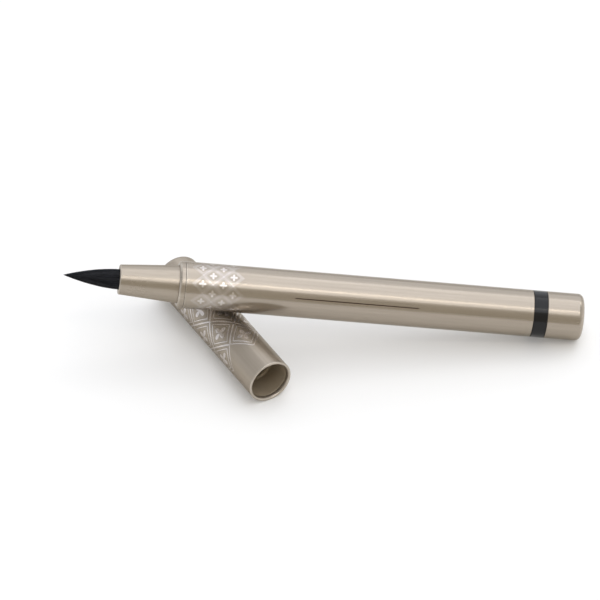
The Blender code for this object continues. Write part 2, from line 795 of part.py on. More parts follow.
def make_cap_spring():
    """One unbroken wire: straight ends of one wire diameter, and the coil between them."""
    wire = 2 * SPRING_WIRE_RADIUS
    length = spring_end - spring_start
    coil_length = length - 2 * wire
    count = SPRING_TURNS * SPRING_POINTS_PER_TURN
    coil = []
    for i in range(count + 1):
        angle = math.tau * i / SPRING_POINTS_PER_TURN
        coil.append((
            SPRING_COIL_RADIUS * math.cos(angle),
            SPRING_COIL_RADIUS * math.sin(angle),
            wire + coil_length * i / count,
        ))
    points = [(SPRING_COIL_RADIUS, 0, 0), *coil, (SPRING_COIL_RADIUS, 0, length)]
    least = min(
        math.dist(coil[i], coil[j])
        for i in range(len(coil))
        for j in range(i + SPRING_POINTS_PER_TURN - 2, len(coil))
    )
    print(f"spring: least gap to itself {(least - wire) * 1000:.2f} mm")
    curve = bpy.data.curves.new("cap_spring", "CURVE")
    curve.dimensions = "3D"
    spline = curve.splines.new("POLY")
    spline.points.add(len(points) - 1)
    for point, place in zip(spline.points, points):
        point.co = (*place, 1)
    curve.bevel_depth = SPRING_WIRE_RADIUS
    curve.bevel_resolution = 1
    curve.use_fill_caps = True
    spring = bpy.data.objects.new("cap_spring", curve)
    parts.objects.link(spring)
    material = finish("spring_steel", (0.55, 0.55, 0.56), 0.25, 1.0)
    return seat(spring, material, cap_axis, spring_start)


clear_scene()
parts = new_collection("eyeliner")
cutters = new_collection("eyeliner_cutters")
pen_axis, cap_axis = place_axes()

make_barrel()
make_shade_ring()
make_tail_cap()
make_shoulder_ring()
make_nozzle()
make_nozzle_seal()
make_brush_plug()
make_brush_collar()
make_brush_tuft()
make_ink_tank()
make_tank_plug()
make_tank_gasket()
make_collector()
make_feed_core()
make_mixing_balls()
make_cap_shell()
make_cap_liner()
make_inner_cap()
make_cap_spring()
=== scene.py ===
# %% [markdown]
# # Dressing a brush eyeliner pen
#
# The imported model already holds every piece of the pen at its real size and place.
# This lesson adds what a camera sees: satin metal, hot foil, hair, and the light.
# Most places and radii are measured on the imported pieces. The others, and where the foil
# lies, stand as named values beside the piece that they belong to.

import json
import math

import bmesh
import bpy
from mathutils import Matrix, Vector


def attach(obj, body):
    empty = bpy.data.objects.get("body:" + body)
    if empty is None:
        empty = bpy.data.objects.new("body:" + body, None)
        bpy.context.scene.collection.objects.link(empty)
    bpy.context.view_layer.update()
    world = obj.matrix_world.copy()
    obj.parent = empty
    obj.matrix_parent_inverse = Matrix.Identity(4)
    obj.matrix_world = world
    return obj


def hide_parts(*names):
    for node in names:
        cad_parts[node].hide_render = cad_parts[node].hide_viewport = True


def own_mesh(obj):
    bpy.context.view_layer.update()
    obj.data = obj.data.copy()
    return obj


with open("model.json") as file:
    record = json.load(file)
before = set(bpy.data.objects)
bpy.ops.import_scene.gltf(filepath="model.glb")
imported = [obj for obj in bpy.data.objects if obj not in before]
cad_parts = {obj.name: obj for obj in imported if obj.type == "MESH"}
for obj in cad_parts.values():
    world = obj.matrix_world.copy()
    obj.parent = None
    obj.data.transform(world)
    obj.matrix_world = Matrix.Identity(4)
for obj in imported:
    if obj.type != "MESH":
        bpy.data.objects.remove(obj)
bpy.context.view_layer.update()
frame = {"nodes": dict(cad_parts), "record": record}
MM = 0.001
print("pieces in the frame:", len(frame["nodes"]))

# %% [markdown]
# ## Two axes
#
# The pen and its cap are both turned work, so each has one axis that everything else
# is measured from. The record's two flat faces give them: one is the tail's face, and
# the other is the cap's closed end. A face's normal points out of the piece.

# %% The pen's axis and the cap's axis
mounts = {mount["name"]: mount for mount in frame["record"]["mounts"]}


def axis_from(point, direction):
    """A matrix at a point, with its local Z along a direction and its X as high as it can be."""
    z = Vector(direction).normalized()
    x = (Vector((0, 0, 1)) - z * z.z).normalized()
    y = z.cross(x)
    turn = Matrix((x, y, z)).transposed().to_4x4()
    return Matrix.Translation(point) @ turn


tail_point = Vector(mounts["tail_face"]["pos_m"])
pen_axis = axis_from(tail_point, -Vector(mounts["tail_face"]["axis"]))
cap_end = mounts["cap_end_face"]
cap_axis = axis_from(Vector(cap_end["pos_m"]), -Vector(cap_end["axis"]))
print("pen points to", [round(v, 3) for v in pen_axis.col[2][:3]])

# %% [markdown]
# ## Measuring a piece
#
# A turned piece is known by four numbers: where it starts and ends along its axis, and
# its smallest and largest radius. New pieces take their ends and most of their radii from
# these numbers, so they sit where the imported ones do.

# %% Four numbers for a piece


def measure(node, axis):
    """Start, end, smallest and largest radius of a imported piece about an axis."""
    to_axis = axis.inverted()
    places = [to_axis @ vertex.co for vertex in frame["nodes"][node].data.vertices]
    heights = [place.z for place in places]
    radii = [math.hypot(place.x, place.y) for place in places]
    return min(heights), max(heights), min(radii), max(radii)


for node in ("barrel", "nozzle", "brush_tuft"):
    print(node, [round(size / MM, 2) for size in measure(node, pen_axis)])

# %% New objects


def put_in_scene(name, data):
    """A new object with this data, linked to the scene."""
    piece = bpy.data.objects.new(name, data)
    bpy.context.scene.collection.objects.link(piece)
    return piece


# %% [markdown]
# ## The camera
#
# The photograph was taken from about 40 degrees above the table with a long lens, which
# is why the pen hardly narrows with distance. A real product shot keeps the camera far
# away for the same reason.

# %% Camera
CAMERA_AZIMUTH = math.radians(-1.97)
CAMERA_ELEVATION = math.radians(40)
CAMERA_DISTANCE = 1.56
CAMERA_LENS = 414.24
SENSOR_WIDTH = 36
AIM_FROM_TAIL = Vector((-0.06261, 0.01427, 0))


def place_camera():
    data = bpy.data.cameras.new("camera")
    data.sensor_width = SENSOR_WIDTH
    data.lens = CAMERA_LENS
    camera = put_in_scene("camera", data)
    level = math.cos(CAMERA_ELEVATION)
    back = Vector((
        math.sin(CAMERA_AZIMUTH) * level,
        -math.cos(CAMERA_AZIMUTH) * level,
        math.sin(CAMERA_ELEVATION),
    ))
    aim = Vector((tail_point.x, tail_point.y, 0)) + AIM_FROM_TAIL
    camera.location = aim + back * CAMERA_DISTANCE
    camera.rotation_euler = (-back).to_track_quat("-Z", "Y").to_euler()
    bpy.context.scene.camera = camera
    return camera


camera = place_camera()
print("camera at", [round(v, 3) for v in camera.location])

# %% [markdown]
# ## Small helpers for node trees
#
# Materials and shapes are both drawn with nodes. Short helpers keep the lines that build
# them readable. One adds a node and fills or links its inputs, and the others do sums, mix
# two values, and begin or place a group.

# %% Node helpers


def open_socket(sockets, name):
    """The socket of that name that the node's settings leave in use."""
    return next(socket for socket in sockets if socket.name == name and socket.enabled)


def add(tree, kind, inputs=None, **settings):
    """Add a node, set its properties, and give each named input a value or a link."""
    node = tree.nodes.new(kind)
    for name, value in settings.items():
        setattr(node, name, value)
    for name, value in (inputs or {}).items():
        by_name = isinstance(name, str)
        socket = open_socket(node.inputs, name) if by_name else node.inputs[name]
        if isinstance(value, bpy.types.NodeSocket):
            tree.links.new(value, socket)
        else:
            socket.default_value = value
    return node


def sum_of(tree, operation, *values):
    """One Math node, whose inputs are numbers or other nodes' outputs."""
    inputs = dict(enumerate(values))
    return add(tree, "ShaderNodeMath", inputs, operation=operation).outputs[0]


def mix(tree, data_type, factor, first, second):
    """One Mix node, from the first value at factor 0 to the second at factor 1."""
    node = add(tree, "ShaderNodeMix", {
        "Factor": factor, "A": first, "B": second,
    }, data_type=data_type)
    return open_socket(node.outputs, "Result")


def mix_color(tree, factor, first, second):
    return mix(tree, "RGBA", factor, first, second)


def mix_value(tree, factor, first, second):
    return mix(tree, "FLOAT", factor, first, second)


def use_group(tree, group, inputs):
    """Place a group in a material, with its inputs given by name; its outputs come back."""
    return add(tree, "ShaderNodeGroup", inputs, node_tree=group).outputs


def new_group(name, inputs, outputs, kind="ShaderNodeTree"):
    """A node group with named float, vector or integer sockets."""
    group = bpy.data.node_groups.new(name, kind)
    for socket, socket_type in inputs:
        group.interface.new_socket(socket, in_out="INPUT", socket_type=socket_type)
    for socket, socket_type in outputs:
        group.interface.new_socket(socket, in_out="OUTPUT", socket_type=socket_type)
    entry = group.nodes.new("NodeGroupInput")
    leave = group.nodes.new("NodeGroupOutput")
    return group, entry.outputs, leave.inputs


FLOAT = "NodeSocketFloat"
VECTOR = "NodeSocketVector"

# %% [markdown]
# ## The table and the light
#
# A product table is a wide pale sheet under a large soft lamp. The lamp hangs over the
# pen, a little to its right, so the upper half of each tube mirrors the lamp and the lower
# half mirrors the room and the table. A thin bright tube in front of the pen gives the
# sharp line that runs along the metal. A smaller lamp behind and to the right throws the
# shadows forward and to the left. Where the camera, a mirror or clear plastic shows the
# table, it glows a little. That makes it white, and the glow itself lights nothing.

# %% Table
FLOOR_COLOR = (0.85, 0.84, 0.82, 1)
FLOOR_HALF_SIZE = 8.0
FLOOR_LIFT = 0.1
FLOOR_ROUGHNESS = 0.9
FLOOR_SPECULAR = 0.1


def make_floor():
    mesh = bpy.data.meshes.new("table")
    shape = bmesh.new()
    bmesh.ops.create_grid(shape, x_segments=1, y_segments=1, size=FLOOR_HALF_SIZE)
    shape.to_mesh(mesh)
    shape.free()
    floor = put_in_scene("table", mesh)
    material = bpy.data.materials.new("table_sheet")
    material.use_nodes = True
    tree = material.node_tree
    shader = tree.nodes["Principled BSDF"]
    shader.inputs["Base Color"].default_value = FLOOR_COLOR
    shader.inputs["Roughness"].default_value = FLOOR_ROUGHNESS
    shader.inputs["Specular IOR Level"].default_value = FLOOR_SPECULAR
    shader.inputs["Emission Color"].default_value = (1, 1, 1, 1)
    ray = add(tree, "ShaderNodeLightPath").outputs
    seen = sum_of(tree, "MAXIMUM", ray["Is Camera Ray"], ray["Is Glossy Ray"])
    seen = sum_of(tree, "MAXIMUM", seen, ray["Is Transmission Ray"])
    tree.links.new(sum_of(tree, "MULTIPLY", seen, FLOOR_LIFT), shader.inputs["Emission Strength"])
    mesh.materials.append(material)


make_floor()

# %% Lamps
LAMP_HEIGHT = 2.0
LAMP_FRONT = math.radians(43)
LAMP_BACK = math.radians(38)
LAMP_WIDTH = 1.4
LAMP_SHIFT = 0.3
LAMP_RADIANCE = 1.7
LAMP_COLOR = (0.97, 1.0, 1.07)
TUBE_HEIGHT_SHARE = 0.9
TUBE_ANGLE = math.radians(27)
TUBE_WIDTH = 0.1
TUBE_RADIANCE = 4.3
TUBE_COLOR = (1.0, 0.94, 0.82)
KEY_PLACE = Vector((1.0, 0.75, 1.45))
KEY_SIZE = 0.5
KEY_RADIANCE = 2.2
WHITE = (1, 1, 1)


def add_lamp(name, place, size, radiance, toward, color=WHITE):
    """A soft rectangular lamp of a given radiance, turned to a point."""
    data = bpy.data.lights.new(name, "AREA")
    data.color = color
    data.shape = "RECTANGLE"
    data.size, data.size_y = size
    data.energy = radiance * math.pi * size[0] * size[1]
    lamp = put_in_scene(name, data)
    lamp.location = place
    lamp.rotation_euler = (toward - place).to_track_quat("-Z", "Y").to_euler()


def hang_lamps():
    aim = Vector((0, 0, 0))
    front = -LAMP_HEIGHT * math.tan(LAMP_FRONT)
    back = LAMP_HEIGHT * math.tan(LAMP_BACK)
    place = Vector((LAMP_SHIFT, (front + back) / 2, LAMP_HEIGHT))
    under = place - Vector((0, 0, 1))
    add_lamp("over_lamp", place, (LAMP_WIDTH, back - front), LAMP_RADIANCE, under, LAMP_COLOR)
    height = LAMP_HEIGHT * TUBE_HEIGHT_SHARE
    tube_place = Vector((LAMP_SHIFT, -height * math.tan(TUBE_ANGLE), height))
    tube_size = (LAMP_WIDTH, TUBE_WIDTH)
    tube_aim = Vector((LAMP_SHIFT, 0, 0))
    add_lamp("tube_lamp", tube_place, tube_size, TUBE_RADIANCE, tube_aim, TUBE_COLOR)
    add_lamp("key_lamp", KEY_PLACE, (KEY_SIZE, KEY_SIZE), KEY_RADIANCE, aim)


hang_lamps()

# %% The room
ROOM_FRONT = (0.58, 0.535, 0.45, 1)
ROOM_BACK = (1.3, 1.35, 1.45, 1)
ROOM_HORIZON = (0.7, 0.72, 0.76, 1)
ROOM_LEFT = (0.82, 0.84, 0.88, 1)
ROOM_RIGHT = (1.05, 1.05, 1.05, 1)
ROOM_TOP = (0.18, 0.18, 0.18, 1)
BACK_WALL_RISE = (0.0, 0.35)
FRONT_TO_BACK = (-0.9, 0.9)
RIGHT_FADE = (0.5, 0.9)
LEFT_FADE = (-0.35, -0.75)
CEILING_FADE = (0.74, 0.88)


def ramp(tree, value, start, end):
    """0 up to the start, 1 from the end on, and even in between."""
    return add(tree, "ShaderNodeMapRange", {
        "Value": value, "From Min": start, "From Max": end,
    }).outputs["Result"]


def paint_room():
    """A warm dim front, a pale bluish back, a side wall each way, and a dark ceiling."""
    world = bpy.data.worlds.new("room")
    world.use_nodes = True
    bpy.context.scene.world = world
    tree = world.node_tree
    direction = add(tree, "ShaderNodeTexCoord").outputs["Generated"]
    parts = add(tree, "ShaderNodeSeparateXYZ", {"Vector": direction}).outputs
    wall = mix_color(tree, ramp(tree, parts["Z"], *BACK_WALL_RISE), ROOM_HORIZON, ROOM_BACK)
    sweep = mix_color(tree, ramp(tree, parts["Y"], *FRONT_TO_BACK), ROOM_FRONT, wall)
    color = mix_color(tree, ramp(tree, parts["X"], *RIGHT_FADE), sweep, ROOM_RIGHT)
    color = mix_color(tree, ramp(tree, parts["X"], *LEFT_FADE), color, ROOM_LEFT)
    color = mix_color(tree, ramp(tree, parts["Z"], *CEILING_FADE), color, ROOM_TOP)
    tree.links.new(color, tree.nodes["Background"].inputs["Color"])


paint_room()
bpy.context.scene.view_settings.view_transform = "Standard"

# %% [markdown]
# ## Coordinates that follow a tube
#
# Brushed streaks run along the tube, and foil is printed round it. Both need to know how
# far along the axis and how far round it a point lies. A Mapping node of the Texture kind
# moves the object's coordinates onto the axis, and this group turns them into two lengths.

# %% Group: lengths along and round a tube


def make_tube_lengths():
    group, given, result = new_group(
        "tube_lengths",
        [("Place", VECTOR), ("Radius", FLOAT)],
        [("Along", FLOAT), ("Round", FLOAT)],
    )
    parts = add(group, "ShaderNodeSeparateXYZ", {"Vector": given["Place"]}).outputs
    angle = sum_of(group, "ARCTAN2", parts["Y"], parts["X"])
    around = sum_of(group, "MULTIPLY", angle, given["Radius"])
    group.links.new(parts["Z"], result["Along"])
    group.links.new(around, result["Round"])
    return group


tube_lengths = make_tube_lengths()


def on_axis(tree, axis):
    """Object coordinates moved onto an axis, so that Z runs along it."""
    return add(tree, "ShaderNodeMapping", {
        "Vector": add(tree, "ShaderNodeTexCoord").outputs["Object"],
        "Location": axis.to_translation(),
        "Rotation": axis.to_euler(),
    }, vector_type="TEXTURE").outputs["Vector"]


# %% [markdown]
# ## Satin streaks
#
# The metal was rubbed along its length before it was lacquered. The rubbing leaves fine
# lines that are far longer than they are wide. Noise that is squeezed across the axis and
# stretched along it gives such lines, and its finer octaves break up their evenness.

# %% Group: satin streaks
STREAK_DETAIL = 3.0


def make_satin_streaks():
    group, given, result = new_group(
        "satin_streaks",
        [("Place", VECTOR), ("Lines per mm", FLOAT), ("Line length mm", FLOAT)],
        [("Streak", FLOAT)],
    )
    across = sum_of(group, "DIVIDE", given["Lines per mm"], MM)
    length = sum_of(group, "MULTIPLY", given["Line length mm"], MM)
    along = sum_of(group, "DIVIDE", 1.0, length)
    scale = add(group, "ShaderNodeCombineXYZ", {"X": across, "Y": across, "Z": along}).outputs[0]
    place = add(group, "ShaderNodeVectorMath", {
        0: given["Place"], 1: scale,
    }, operation="MULTIPLY").outputs[0]
    fine = add(group, "ShaderNodeTexNoise", {
        "Vector": place, "Scale": 1.0, "Detail": STREAK_DETAIL,
    })
    group.links.new(fine.outputs["Fac"], result["Streak"])
    return group


satin_streaks = make_satin_streaks()

# %% [markdown]
# ## Grain and handling marks
#
# No moulded or lacquered surface is perfectly even. It has a fine grain from the mould or
# the spray, and broad dull clouds where fingers have been. Every material below takes
# these two masks and gives them its own strength.

# %% Group: surface wear
GRAIN_DETAIL = 2.0
CLOUD_DETAIL = 4.0
CLOUD_ROUGHNESS = 0.6
CLOUD_FADE = (0.35, 0.65)


def make_surface_wear():
    group, given, result = new_group(
        "surface_wear",
        [("Place", VECTOR), ("Grains per mm", FLOAT), ("Cloud size mm", FLOAT)],
        [("Grain", FLOAT), ("Cloud", FLOAT)],
    )
    grain = add(group, "ShaderNodeTexNoise", {
        "Vector": given["Place"],
        "Scale": sum_of(group, "DIVIDE", given["Grains per mm"], MM),
        "Detail": GRAIN_DETAIL,
    })
    cloud = add(group, "ShaderNodeTexNoise", {
        "Vector": given["Place"],
        "Scale": sum_of(group, "DIVIDE", 1 / MM, given["Cloud size mm"]),
        "Detail": CLOUD_DETAIL, "Roughness": CLOUD_ROUGHNESS,
    })
    group.links.new(grain.outputs["Fac"], result["Grain"])
    group.links.new(ramp(group, cloud.outputs["Fac"], *CLOUD_FADE), result["Cloud"])
    return group


surface_wear = make_surface_wear()

# %% [markdown]
# ## Painted rim highlights
#
# The colour turns paler where a tube ends, as a painted highlight on its rim. This group
# gives a mask that is full at one place along the axis and fades over a short reach, broken
# up so that it never ends in a ring.

# %% Group: painted rim highlight
PATCHES_PER_MM = 0.9
PATCH_DETAIL = 3.0
PATCH_MIDDLE = 0.5
RIM_HIGHLIGHT_FADE = (0.1, 0.7)


def make_rim_highlight():
    group, given, result = new_group(
        "rim_highlight",
        [("Place", VECTOR), ("Edge", FLOAT), ("Reach", FLOAT)],
        [("Painted highlight", FLOAT)],
    )
    along = add(group, "ShaderNodeSeparateXYZ", {"Vector": given["Place"]}).outputs["Z"]
    away = sum_of(group, "ABSOLUTE", sum_of(group, "SUBTRACT", along, given["Edge"]))
    near = sum_of(group, "SUBTRACT", 1.0, sum_of(group, "DIVIDE", away, given["Reach"]))
    patches = add(group, "ShaderNodeTexNoise", {
        "Vector": given["Place"], "Scale": PATCHES_PER_MM / MM, "Detail": PATCH_DETAIL,
    }).outputs["Fac"]
    rim_light = sum_of(group, "ADD", near, sum_of(group, "SUBTRACT", patches, PATCH_MIDDLE))
    group.links.new(ramp(group, rim_light, *RIM_HIGHLIGHT_FADE), result["Painted highlight"])
    return group


rim_highlight = make_rim_highlight()

# %% [markdown]
# ## A foil trellis
#
# Hot foil is a thin bright film stamped onto the lacquer. Here it draws a trellis of
# diamonds, an old pattern of garden fences and quilts, with a four-petal flower in each
# diamond. Two slanted sets of lines are enough: the sum and the difference of the lengths
# round and along the tube. Counting both tells which row a diamond is in, so the pattern
# ends on whole diamonds. The places and halves named below are in widths of the foil's
# line.

# %% Group: foil trellis
INNER_LINE_PLACE = 2.3
INNER_LINE_HALF = 0.3
OUTER_LINE_HALF = 0.5
# The band beside the foil is sunk by the bump and darkened with painted shade.
GROOVE_SHARE = 0.4
PETALS = 4


def make_foil_trellis():
    group, given, result = new_group(
        "foil_trellis",
        [
            ("Along", FLOAT), ("Round", FLOAT), ("Width", FLOAT), ("Height", FLOAT),
            ("Line", FLOAT), ("Petal", FLOAT), ("First row", FLOAT), ("Last row", FLOAT),
        ],
        [("Foil", FLOAT), ("Edge", FLOAT)],
    )

    def do(operation, *values):
        return sum_of(group, operation, *values)

    width, height, line = given["Width"], given["Height"], given["Line"]
    p = do("DIVIDE", given["Round"], width)
    q = do("DIVIDE", given["Along"], height)
    s, t = do("ADD", p, q), do("SUBTRACT", p, q)
    row = do("SUBTRACT", do("FLOOR", s), do("FLOOR", t))
    from_first = do("GREATER_THAN", row, do("SUBTRACT", given["First row"], 0.5))
    to_last = do("LESS_THAN", row, do("ADD", given["Last row"], 0.5))
    inside = do("MULTIPLY", from_first, to_last)
    s_in = do("SUBTRACT", do("FRACT", s), 0.5)
    t_in = do("SUBTRACT", do("FRACT", t), 0.5)
    steep = do("SQRT", do("ADD", do("POWER", width, -2.0), do("POWER", height, -2.0)))
    reach = do("MAXIMUM", do("ABSOLUTE", s_in), do("ABSOLUTE", t_in))
    to_border = do("DIVIDE", do("SUBTRACT", 0.5, reach), steep)
    to_inner = do("ABSOLUTE", do("SUBTRACT", to_border, do("MULTIPLY", line, INNER_LINE_PLACE)))
    x = do("MULTIPLY", do("MULTIPLY", do("ADD", s_in, t_in), 0.5), width)
    y = do("MULTIPLY", do("MULTIPLY", do("SUBTRACT", s_in, t_in), 0.5), height)
    away = do("SQRT", do("ADD", do("MULTIPLY", x, x), do("MULTIPLY", y, y)))
    lobe = do("ABSOLUTE", do("COSINE", do("MULTIPLY", do("ARCTAN2", y, x), PETALS / 2)))
    to_petal = do("SUBTRACT", away, do("MULTIPLY", lobe, given["Petal"]))
    lines = do(
        "MINIMUM",
        do("SUBTRACT", to_border, do("MULTIPLY", line, OUTER_LINE_HALF)),
        do("SUBTRACT", to_inner, do("MULTIPLY", line, INNER_LINE_HALF)),
    )
    nearest = do("MINIMUM", lines, to_petal)
    foil = do("MULTIPLY", do("LESS_THAN", nearest, 0.0), inside)
    # Edge marks the groove beside the foil; its dark colour is painted shade.
    beside = do("LESS_THAN", nearest, do("MULTIPLY", line, GROOVE_SHARE))
    wide = do("MULTIPLY", beside, inside)
    group.links.new(foil, result["Foil"])
    group.links.new(do("SUBTRACT", wide, foil), result["Edge"])
    return group


foil_trellis = make_foil_trellis()
print("groups:", [group.name for group in bpy.data.node_groups])

# %% [markdown]
# ## Champagne metal
#
# Champagne is a pale, slightly warm metal colour. The lacquer over it stays satin: sharp
# enough to hold the lamp's edge as a line, soft enough to blur everything else. The
# streaks move its colour by a few hundredths, change its roughness, and lift it a little.

# %% Champagne metal
CHAMPAGNE_DARK = (0.315, 0.271, 0.217, 1)
CHAMPAGNE_LIGHT = (0.415, 0.358, 0.293, 1)
SATIN_METALLIC = 0.84
LACQUER_ROUGHNESS = 0.06
STREAK_HEIGHT = 0.002 * MM
STREAKS = {"Lines per mm": 2.4, "Line length mm": 22.0}
LACQUER_WEAR = {"Grains per mm": 14.0, "Cloud size mm": 9.0}
CLOUD_IN_ROUGHNESS = 0.35
GRAIN_IN_HEIGHT = 0.25
GRAZING_TINT = (0.5, 0.46, 0.4, 1)
RIM_HIGHLIGHT_COLOR = (0.47, 0.42, 0.355, 1)


def new_material(name, **uniform):
    """A material with one Principled shader, whose uniform values are set directly."""
    material = bpy.data.materials.new(name)
    material.use_nodes = True
    inputs = material.node_tree.nodes["Principled BSDF"].inputs
    for key, value in uniform.items():
        inputs[key.replace("_", " ")].default_value = value
    return material, material.node_tree, inputs


def bump(tree, inputs, height, distance):
    """Feed a height in the range 0 to 1 to the shader's normal."""
    normal = add(tree, "ShaderNodeBump", {"Height": height, "Distance": distance})
    tree.links.new(normal.outputs["Normal"], inputs["Normal"])


def make_champagne(name, axis, radius, lacquer, satin, edge, reach, decorate=None):
    """Satin champagne along an axis, painted paler at one edge as a rim highlight; decorate may lay
    foil over it.
    """
    material, tree, inputs = new_material(
        name, Metallic=SATIN_METALLIC, Specular_Tint=GRAZING_TINT,
        Coat_Weight=lacquer, Coat_Roughness=LACQUER_ROUGHNESS)
    place = on_axis(tree, axis)
    streak = use_group(tree, satin_streaks, {"Place": place, **STREAKS})["Streak"]
    wear = use_group(tree, surface_wear, {"Place": place, **LACQUER_WEAR})
    color = mix_color(tree, streak, CHAMPAGNE_DARK, CHAMPAGNE_LIGHT)
    # Painted highlight: a paler colour near the tube's end stands in for the light on its rim.
    rim_light = use_group(tree, rim_highlight, {
        "Place": place, "Edge": edge, "Reach": reach,
    })["Painted highlight"]
    color = mix_color(tree, rim_light, color, RIM_HIGHLIGHT_COLOR)
    marks = mix_value(tree, CLOUD_IN_ROUGHNESS, streak, wear["Cloud"])
    rough = mix_value(tree, marks, *satin)
    height = mix_value(tree, GRAIN_IN_HEIGHT, streak, wear["Grain"])
    if decorate:
        color, rough, height = decorate(tree, place, radius, color, rough, height)
    tree.links.new(color, inputs["Base Color"])
    tree.links.new(rough, inputs["Roughness"])
    bump(tree, inputs, height, STREAK_HEIGHT)
    return material


# %% [markdown]
# ## The foil on the barrel and on the cap
#
# Both tubes carry the same trellis at two scales: small diamonds near the pen's shoulder,
# and large ones over most of the cap. The foil is brighter and smoother than the lacquer,
# and the stamp leaves a thin groove beside it, darkened with painted shade. The barrel also
# carries one thin brown rule along its side.

# %% Foil and rule
FOIL_COLOR = (0.62, 0.575, 0.545, 1)
FOIL_ROUGHNESS = 0.2
# Painted shade for the groove beside the foil.
GROOVE_SHADE_COLOR = (0.3, 0.262, 0.215, 1)
RULE_COLOR = (0.06, 0.03, 0.02, 1)
RULE_START = 24.6 * MM
RULE_END = 52.4 * MM
RULE_ANGLE = math.radians(-61.5)
RULE_WIDTH = 0.23 * MM
BARREL_FOIL_ROUND = 8
BARREL_FOIL_CELL = 4.6 * MM
BARREL_FOIL_SETBACK = 1.4 * MM
BARREL_FOIL = {
    "Line": 0.17 * MM, "Petal": 0.85 * MM, "First row": 1.0, "Last row": 4.0,
}
CAP_FOIL_ROUND = 4
CAP_FOIL_CELL = 9.0 * MM
CAP_FOIL = {
    "Line": 0.36 * MM, "Petal": 1.75 * MM, "First row": 3.0, "Last row": 7.0,
}
LACQUER = 0.4
THIN_LACQUER = 0.2
BARREL_SATIN = (0.2, 0.3)
NOZZLE_SATIN = (0.24, 0.34)
CAP_SATIN = (0.3, 0.42)
# How far the painted rim highlight reaches from each tube's end.
BARREL_HIGHLIGHT_REACH = 0.25 * MM
TAIL_HIGHLIGHT_REACH = 0.8 * MM
RING_HIGHLIGHT_REACH = 0.6 * MM
NOZZLE_HIGHLIGHT_REACH = 0.4 * MM
CAP_HIGHLIGHT_REACH = 0.5 * MM


def lay_foil(tree, masks, color, rough, height):
    """Foil over the lacquer, with a groove beside it that painted shade darkens."""
    color = mix_color(tree, masks["Edge"], color, GROOVE_SHADE_COLOR)
    color = mix_color(tree, masks["Foil"], color, FOIL_COLOR)
    rough = mix_value(tree, masks["Foil"], rough, FOIL_ROUGHNESS)
    height = mix_value(tree, masks["Edge"], height, 0.0)
    return color, rough, mix_value(tree, masks["Foil"], height, 1.0)


def decorate_barrel(tree, place, radius, color, rough, height):
    lengths = use_group(tree, tube_lengths, {"Place": place, "Radius": radius})
    back = sum_of(tree, "SUBTRACT", shoulder_start, lengths["Along"])
    masks = use_group(tree, foil_trellis, {
        "Along": sum_of(tree, "SUBTRACT", back, BARREL_FOIL_SETBACK),
        "Round": lengths["Round"],
        "Width": math.tau * radius / BARREL_FOIL_ROUND, "Height": BARREL_FOIL_CELL,
        **BARREL_FOIL,
    })
    color, rough, height = lay_foil(tree, masks, color, rough, height)
    middle = (RULE_START + RULE_END) / 2
    off_line = sum_of(
        tree, "ABSOLUTE", sum_of(tree, "SUBTRACT", lengths["Round"], RULE_ANGLE * radius))
    off_middle = sum_of(tree, "ABSOLUTE", sum_of(tree, "SUBTRACT", back, middle))
    rule = sum_of(
        tree, "MULTIPLY",
        sum_of(tree, "LESS_THAN", off_line, RULE_WIDTH / 2),
        sum_of(tree, "LESS_THAN", off_middle, (RULE_END - RULE_START) / 2),
    )
    return mix_color(tree, rule, color, RULE_COLOR), rough, height


def decorate_cap(tree, place, radius, color, rough, height):
    lengths = use_group(tree, tube_lengths, {"Place": place, "Radius": radius})
    masks = use_group(tree, foil_trellis, {
        "Along": lengths["Along"], "Round": lengths["Round"],
        "Width": math.tau * radius / CAP_FOIL_ROUND, "Height": CAP_FOIL_CELL,
        **CAP_FOIL,
    })
    return lay_foil(tree, masks, color, rough, height)


_, shoulder_start, _, barrel_radius = measure("barrel", pen_axis)
_, shoulder_end, _, _ = measure("shoulder_ring", pen_axis)
_, nozzle_end, _, nozzle_radius = measure("nozzle", pen_axis)
_, cap_mouth, _, cap_radius = measure("cap_shell", cap_axis)
champagne_barrel = make_champagne(
    "champagne_barrel", pen_axis, barrel_radius, LACQUER, BARREL_SATIN,
    shoulder_start, BARREL_HIGHLIGHT_REACH, decorate_barrel)
champagne_tail = make_champagne(
    "champagne_tail", pen_axis, barrel_radius, LACQUER, BARREL_SATIN, 0.0, TAIL_HIGHLIGHT_REACH)
champagne_ring = make_champagne(
    "champagne_ring", pen_axis, barrel_radius, LACQUER, NOZZLE_SATIN,
    shoulder_end, RING_HIGHLIGHT_REACH)
champagne_nozzle = make_champagne(
    "champagne_nozzle", pen_axis, nozzle_radius, THIN_LACQUER, NOZZLE_SATIN,
    nozzle_end, NOZZLE_HIGHLIGHT_REACH)
champagne_cap = make_champagne(
    "champagne_cap", cap_axis, cap_radius, THIN_LACQUER, CAP_SATIN,
    cap_mouth, CAP_HIGHLIGHT_REACH, decorate_cap)
print("champagne metals:", [m.name for m in bpy.data.materials if "champagne" in m.name])

# %% [markdown]
# ## Moulded plastic, rubber, fibre and steel
#
# The pieces inside are moulded, cut or drawn. They share one recipe: a base colour that
# the clouds darken a little, a roughness that they also move, and a fine grain as bump.
# Only the numbers differ.

# %% One recipe for the plain materials
PLAIN_CLOUD_SIZE = 4.0
GRAIN_IN_TONE = 0.3


def make_plain(name, color, shade, rough, grains, grain_height, **uniform):
    """A material whose colour, roughness and bump follow grain and handling marks."""
    material, tree, inputs = new_material(name, **uniform)
    place = add(tree, "ShaderNodeTexCoord").outputs["Object"]
    wear = use_group(tree, surface_wear, {
        "Place": place, "Grains per mm": grains, "Cloud size mm": PLAIN_CLOUD_SIZE,
    })
    low = (*color, 1)
    high = (*(part * shade for part in color), 1)
    tone = mix_value(tree, GRAIN_IN_TONE, wear["Cloud"], wear["Grain"])
    tree.links.new(mix_color(tree, tone, low, high), inputs["Base Color"])
    tree.links.new(mix_value(tree, wear["Cloud"], *rough), inputs["Roughness"])
    bump(tree, inputs, wear["Grain"], grain_height * MM)
    return material


